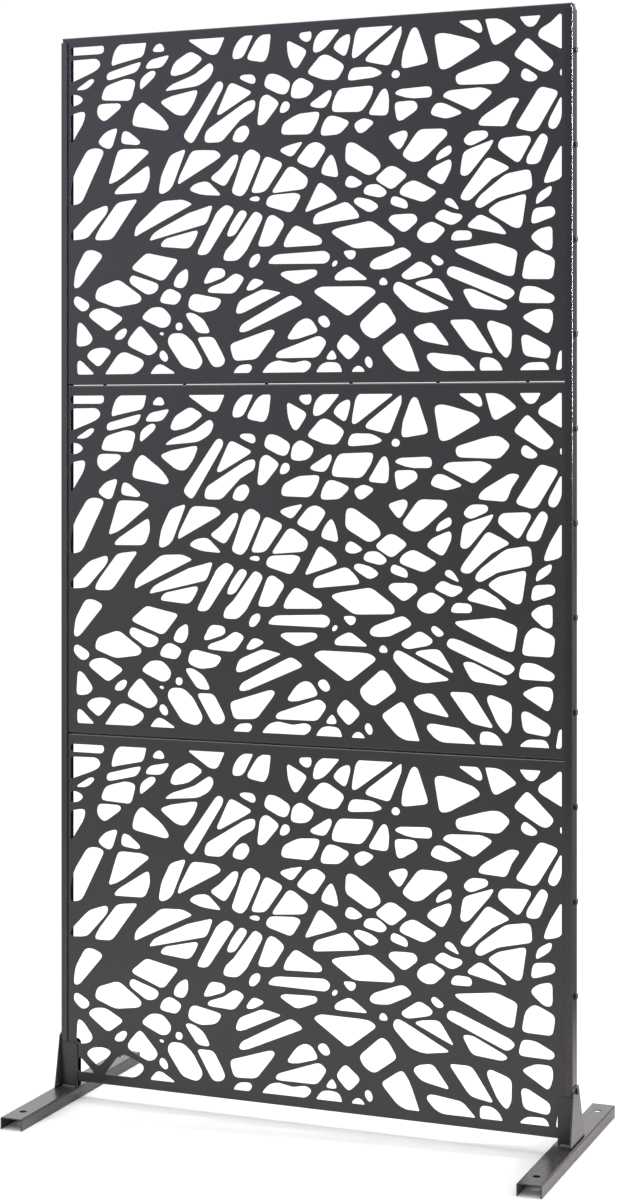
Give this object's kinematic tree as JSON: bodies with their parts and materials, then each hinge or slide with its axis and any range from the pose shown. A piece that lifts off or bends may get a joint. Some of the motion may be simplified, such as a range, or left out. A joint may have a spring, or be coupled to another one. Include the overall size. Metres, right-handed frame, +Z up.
{
  "type": "room divider",
  "caption": "Free-standing screen of perforated folded steel panels stacked between two channel posts on channel feet, dividing a room while letting light through.",
  "frame": {"origin": "middle of the footprint, on the floor", "axes": "+Z up, +X along the screen to the viewer's right, +Y from the flat front face to the open back"},
  "size_m": [0.924, 0.44, 1.8285],
  "materials": {
    "powder_coat": "satin anthracite powder coat",
    "dark_fasteners": "black oxide"
  },
  "bodies": {
    "root": {"lower_panel": "powder_coat", "middle_panel": "powder_coat", "upper_panel": "powder_coat", "left_post": "powder_coat", "left_foot_channel": "powder_coat", "left_gusset_plate": "powder_coat", "left_front_cheek": "powder_coat", "left_rear_cheek": "powder_coat", "left_foot_welds": "powder_coat", "right_post": "powder_coat", "right_foot_channel": "powder_coat", "right_gusset_plate": "powder_coat", "right_front_cheek": "powder_coat", "right_rear_cheek": "powder_coat", "right_foot_welds": "powder_coat", "left_bracket_bolt": "dark_fasteners", "left_bracket_nut": "dark_fasteners", "left_lower_bolts": "dark_fasteners", "left_lower_nuts": "dark_fasteners", "left_middle_bolts": "dark_fasteners", "left_middle_nuts": "dark_fasteners", "left_upper_bolts": "dark_fasteners", "left_upper_nuts": "dark_fasteners", "right_bracket_bolt": "dark_fasteners", "right_bracket_nut": "dark_fasteners", "right_lower_bolts": "dark_fasteners", "right_lower_nuts": "dark_fasteners", "right_middle_bolts": "dark_fasteners", "right_middle_nuts": "dark_fasteners", "right_upper_bolts": "dark_fasteners", "right_upper_nuts": "dark_fasteners", "middle_joint_bolts": "dark_fasteners", "middle_joint_nuts": "dark_fasteners", "upper_joint_bolts": "dark_fasteners", "upper_joint_nuts": "dark_fasteners"}
  },
  "joints": []
}
